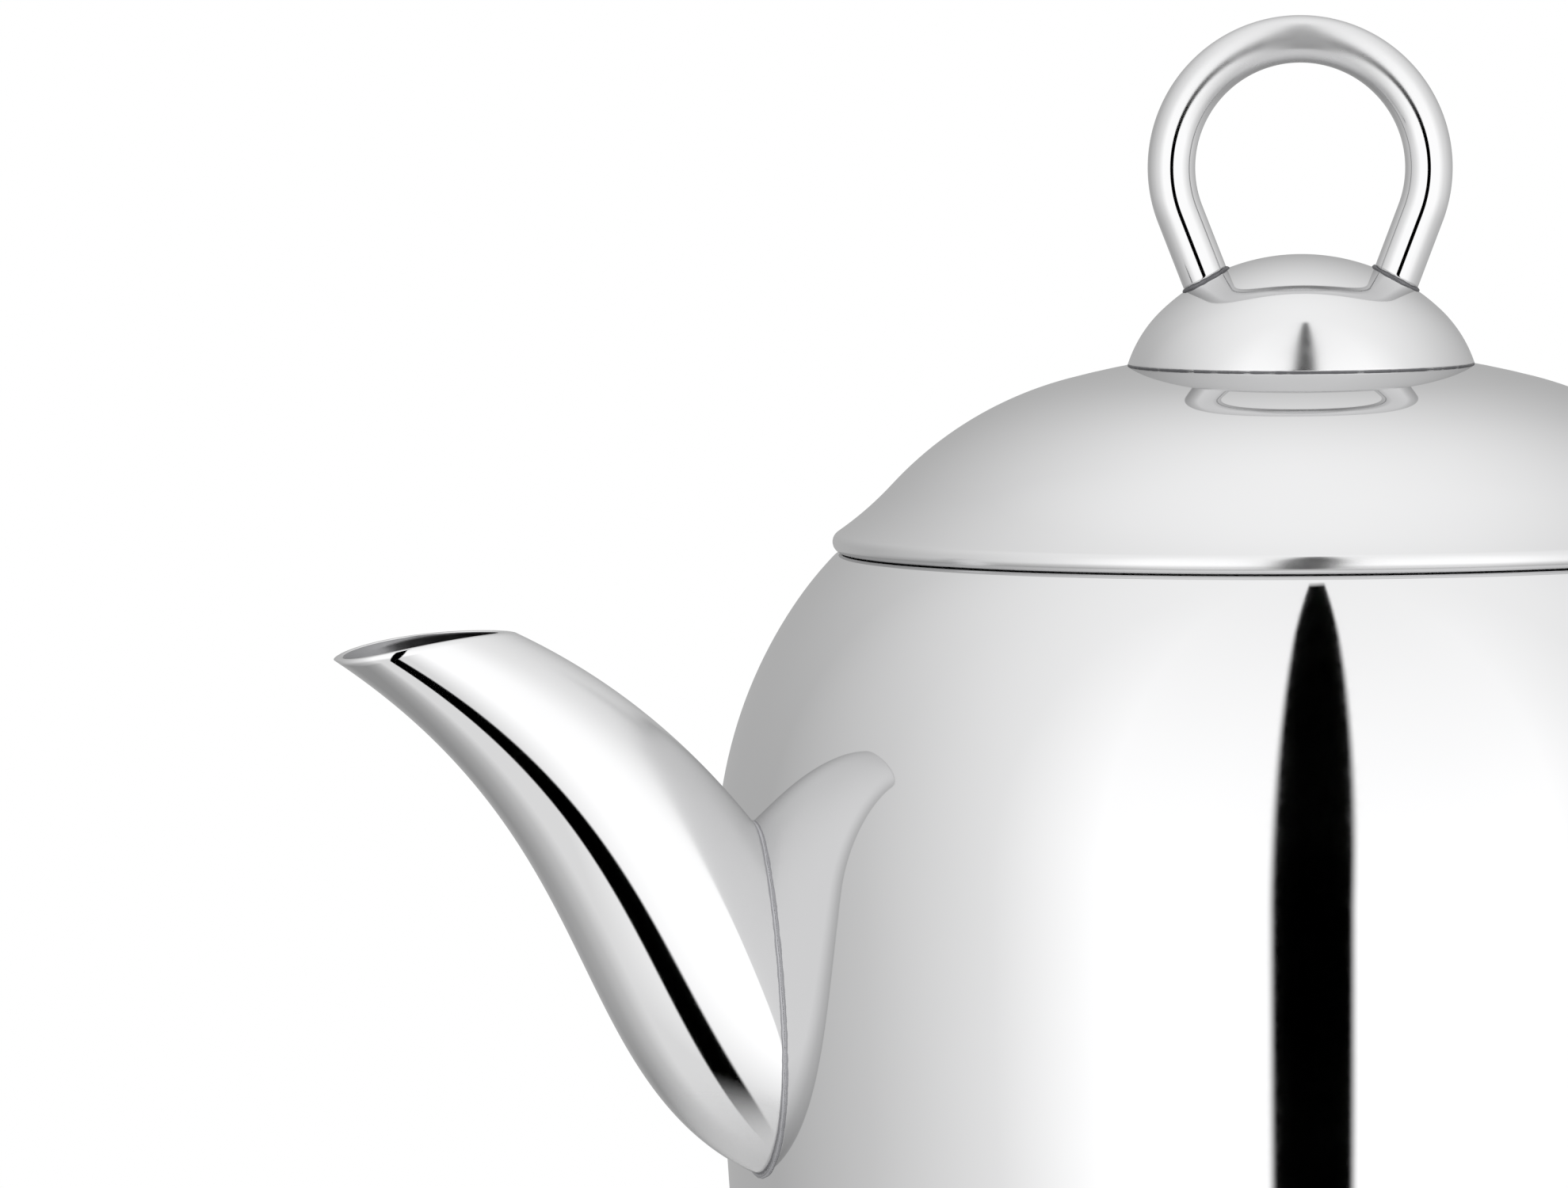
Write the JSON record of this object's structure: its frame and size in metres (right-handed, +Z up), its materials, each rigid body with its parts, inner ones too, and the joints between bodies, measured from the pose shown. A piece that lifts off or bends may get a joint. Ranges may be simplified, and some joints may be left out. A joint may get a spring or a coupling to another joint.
{
  "type": "coffee pot",
  "caption": "Round polished steel coffee pot with a swept spout, a loop handle and a domed lift-off lid with a finger ring.",
  "frame": {"origin": "centre of the base on the axis of the pot, at the level of the foot", "axes": "+Z up along the axis of the pot, -X towards the spout, +X towards the handle"},
  "size_m": [0.2155, 0.126, 0.1668],
  "materials": {
    "polished": "mirror polished",
    "weld": "welded and lightly polished",
    "inner": "satin"
  },
  "bodies": {
    "pot": {"body_shell": "polished", "base_plate": "inner", "spout": "polished", "spout_weld": "weld", "handle": "polished", "handle_welds": "weld"},
    "lid": {"lid_shell": "polished", "lid_skirt": "inner", "knob_dome": "polished", "knob_ring": "polished", "knob_ring_welds": "weld", "knob_stud": "inner", "knob_washer": "inner", "knob_nut": "inner"}
  },
  "joints": [
    {"name": "lid_lift", "type": "slide", "parent": "pot", "child": "lid", "axis": [0, 0, 1], "range_m": [0, 0.08]}
  ]
}
